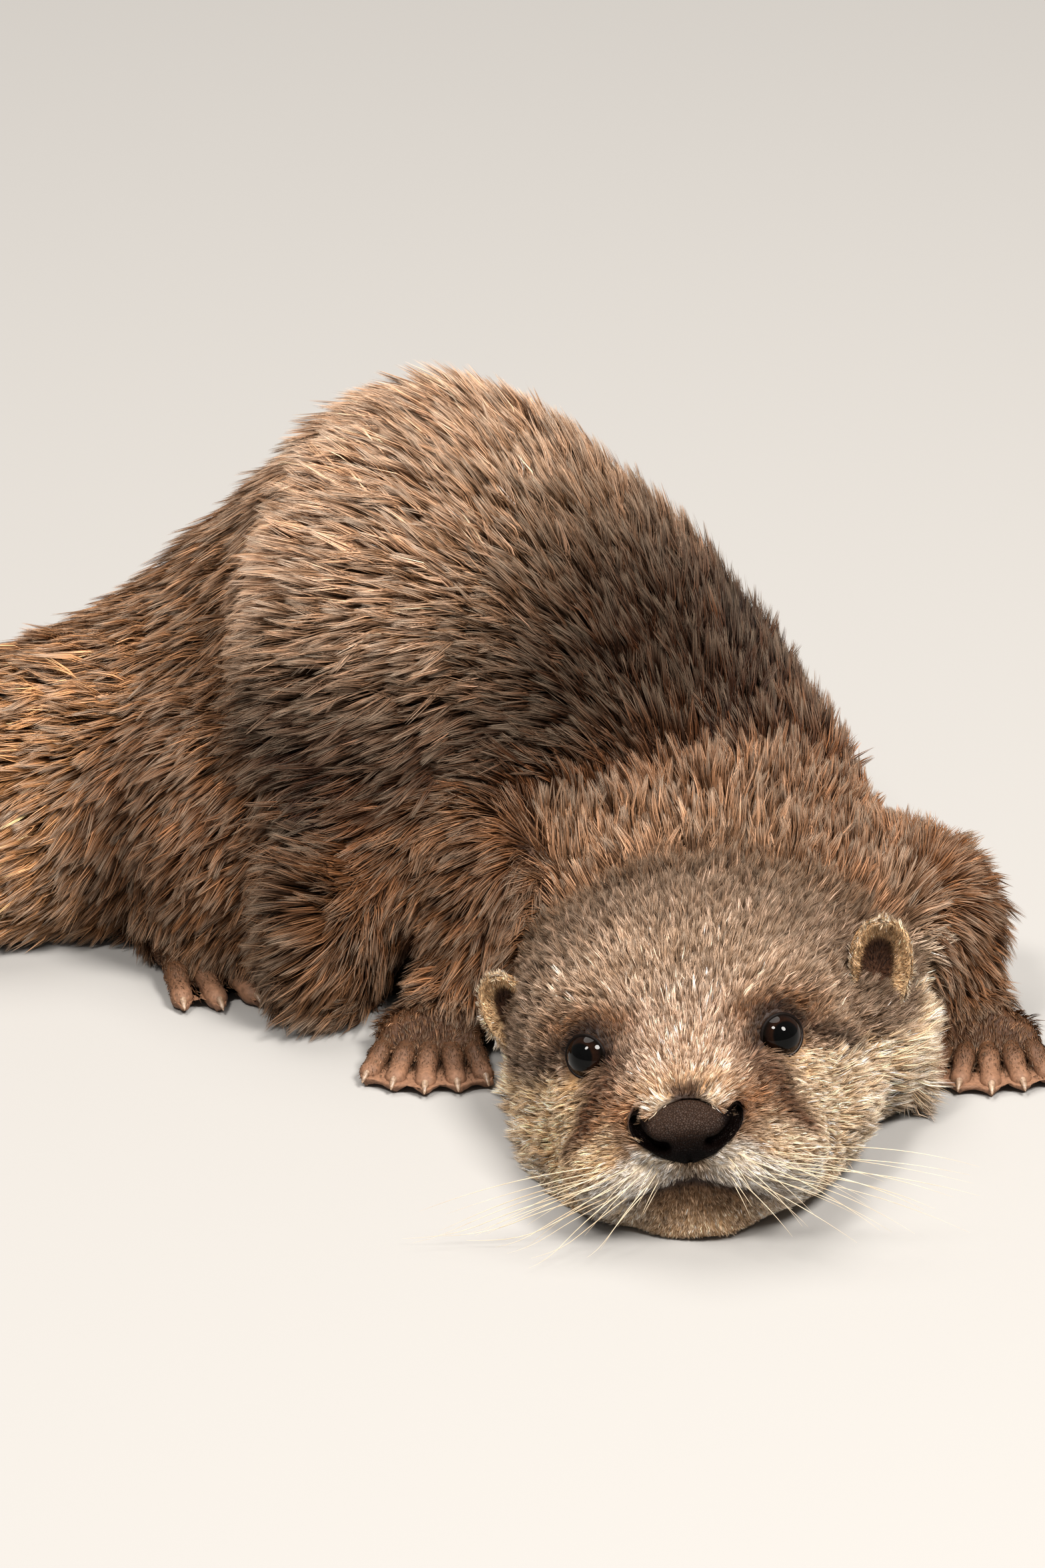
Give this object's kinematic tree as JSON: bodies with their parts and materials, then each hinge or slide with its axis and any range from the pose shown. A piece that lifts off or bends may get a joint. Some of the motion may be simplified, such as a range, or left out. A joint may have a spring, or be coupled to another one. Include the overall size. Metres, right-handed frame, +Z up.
{
  "type": "small-clawed otter, life-size still model",
  "caption": "Otter lying with its chin and paws on the floor, back hunched and trunk curled round to a thick tapering tail, brown coat, pale cheeks and dark eyes.",
  "frame": {"origin": "centre of the bounding box's underside, on the floor the animal lies on", "axes": "+Z up; the head looks along -Y, the tail lies towards -X, so +X is the animal's left side at the head"},
  "size_m": [0.4654, 0.256, 0.1218],
  "materials": {
    "coat": "dense short brown fur in damp locks with greyish tips",
    "eye": "wet, nearly black",
    "nose_leather": "dark brown cracked nose leather, slightly damp",
    "paw_skin": "bare pinkish grey skin of the toes"
  },
  "bodies": {
    "root": {"skull": "coat", "jaw": "coat", "nose_pad": "nose_leather", "left_eye": "eye", "right_eye": "eye", "left_ear": "coat", "right_ear": "coat", "neck": "coat", "chest": "coat", "loin": "coat", "rump": "coat", "tail_base": "coat", "tail_middle": "coat", "tail_tip": "coat", "right_foreleg": "coat", "right_forepaw": "paw_skin", "left_foreleg": "coat", "left_forepaw": "paw_skin", "right_hindleg": "coat", "right_hindpaw": "paw_skin", "left_hindleg": "coat", "left_hindpaw": "paw_skin"}
  },
  "joints": []
}
